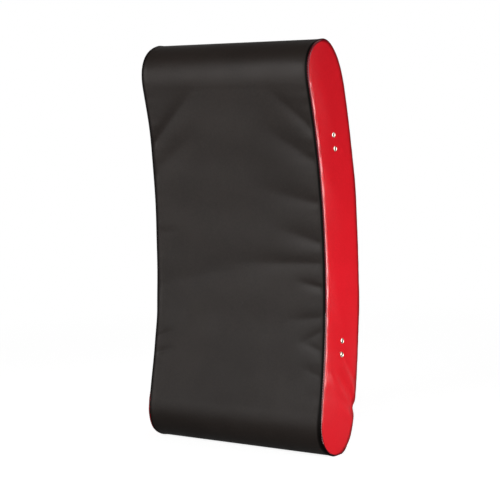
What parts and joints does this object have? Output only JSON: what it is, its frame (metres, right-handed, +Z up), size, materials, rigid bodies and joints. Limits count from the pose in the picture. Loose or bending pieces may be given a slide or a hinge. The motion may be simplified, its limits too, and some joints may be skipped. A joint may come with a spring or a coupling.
{
  "type": "rugby hit shield",
  "caption": "Curved foam contact pad for rugby training, held by padded arm straps and hand grips on its back.",
  "frame": {"origin": "middle of the flat strip under the bottom end, where the shield stands", "axes": "+Z up along the shield's length, +X across its width, -Y out of the hollow impact face, +Y out of the back with the straps"},
  "size_m": [0.4534, 0.2403, 0.8532],
  "materials": {
    "black_cover": "satin PVC-coated cloth, fine grain",
    "red_cover": "glossy PVC-coated cloth",
    "face_foam": "open-cell foam",
    "core_foam": "closed-cell foam",
    "webbing": "woven webbing",
    "padding": "padded PVC-coated cloth",
    "grip_rubber": "matt ribbed rubber",
    "zip_tape": "woven tape",
    "zip_teeth": "moulded plastic",
    "nickel": "nickel plate"
  },
  "bodies": {
    "shield": {"arm_strap_end_left_lower": "webbing", "arm_strap_end_left_upper": "webbing", "arm_strap_end_right_lower": "webbing", "arm_strap_end_right_upper": "webbing", "arm_strap_patch_left_lower": "black_cover", "arm_strap_patch_left_upper": "black_cover", "arm_strap_patch_right_lower": "black_cover", "arm_strap_patch_right_upper": "black_cover", "back_cover_lower": "black_cover", "back_cover_upper": "black_cover", "eyelet_washer_left_1": "nickel", "eyelet_washer_left_2": "nickel", "eyelet_washer_left_3": "nickel", "eyelet_washer_left_4": "nickel", "eyelet_washer_right_1": "nickel", "eyelet_washer_right_2": "nickel", "eyelet_washer_right_3": "nickel", "eyelet_washer_right_4": "nickel", "foam_core_dense": "core_foam", "foam_face_soft": "face_foam", "front_cover": "black_cover", "hand_grip_end_left_lower": "webbing", "hand_grip_end_left_upper": "webbing", "hand_grip_end_right_lower": "webbing", "hand_grip_end_right_upper": "webbing", "hand_grip_patch_left_lower": "black_cover", "hand_grip_patch_left_upper": "black_cover", "hand_grip_patch_right_lower": "black_cover", "hand_grip_patch_right_upper": "black_cover", "piping_left": "red_cover", "piping_right": "red_cover", "side_panel_left": "red_cover", "side_panel_right": "red_cover", "vent_eyelet_left_1": "nickel", "vent_eyelet_left_2": "nickel", "vent_eyelet_left_3": "nickel", "vent_eyelet_left_4": "nickel", "vent_eyelet_right_1": "nickel", "vent_eyelet_right_2": "nickel", "vent_eyelet_right_3": "nickel", "vent_eyelet_right_4": "nickel", "zip_end_tab_left": "black_cover", "zip_end_tab_right": "black_cover", "zip_stop_left": "nickel", "zip_stop_right": "nickel", "zip_tape_lower": "zip_tape", "zip_tape_upper": "zip_tape", "zip_teeth_lower": "zip_teeth", "zip_teeth_upper": "zip_teeth"},
    "arm_loop_left": {"arm_strap_left": "webbing", "arm_strap_pad_left": "padding"},
    "arm_loop_right": {"arm_strap_right": "webbing", "arm_strap_pad_right": "padding"},
    "grip_loop_left": {"hand_grip_left": "webbing", "hand_grip_sleeve_left": "grip_rubber"},
    "grip_loop_right": {"hand_grip_right": "webbing", "hand_grip_sleeve_right": "grip_rubber"},
    "slider": {"zip_slider": "nickel"},
    "pull_tab": {"zip_pull": "nickel"}
  },
  "joints": [
    {"name": "arm_strap_left_swing", "type": "hinge", "parent": "shield", "child": "arm_loop_left", "pos_m": [-0.13726, 0.10549, 0.42585], "axis": [0, 0, 1], "range_deg": [-40, 40], "stiffness_Nm_per_rad": 0.15},
    {"name": "arm_strap_right_swing", "type": "hinge", "parent": "shield", "child": "arm_loop_right", "pos_m": [0.13726, 0.10549, 0.42585], "axis": [0, 0, -1], "range_deg": [-40, 40], "stiffness_Nm_per_rad": 0.15},
    {"name": "hand_grip_left_swing", "type": "hinge", "parent": "shield", "child": "grip_loop_left", "pos_m": [-0.05326, 0.10854, 0.42585], "axis": [0, 0, 1], "range_deg": [-40, 40], "stiffness_Nm_per_rad": 0.08},
    {"name": "hand_grip_right_swing", "type": "hinge", "parent": "shield", "child": "grip_loop_right", "pos_m": [0.05326, 0.10854, 0.42585], "axis": [0, 0, -1], "range_deg": [-40, 40], "stiffness_Nm_per_rad": 0.08},
    {"name": "zip_slide", "type": "slide", "parent": "shield", "child": "slider", "axis": [1, 0, 0], "range_m": [0, 0.3255]},
    {"name": "zip_pull_flip", "type": "hinge", "parent": "slider", "child": "pull_tab", "pos_m": [-0.1628, 0.09262, 0.17611], "axis": [0, 0.1509, 0.9885], "range_deg": [0, 170]}
  ]
}
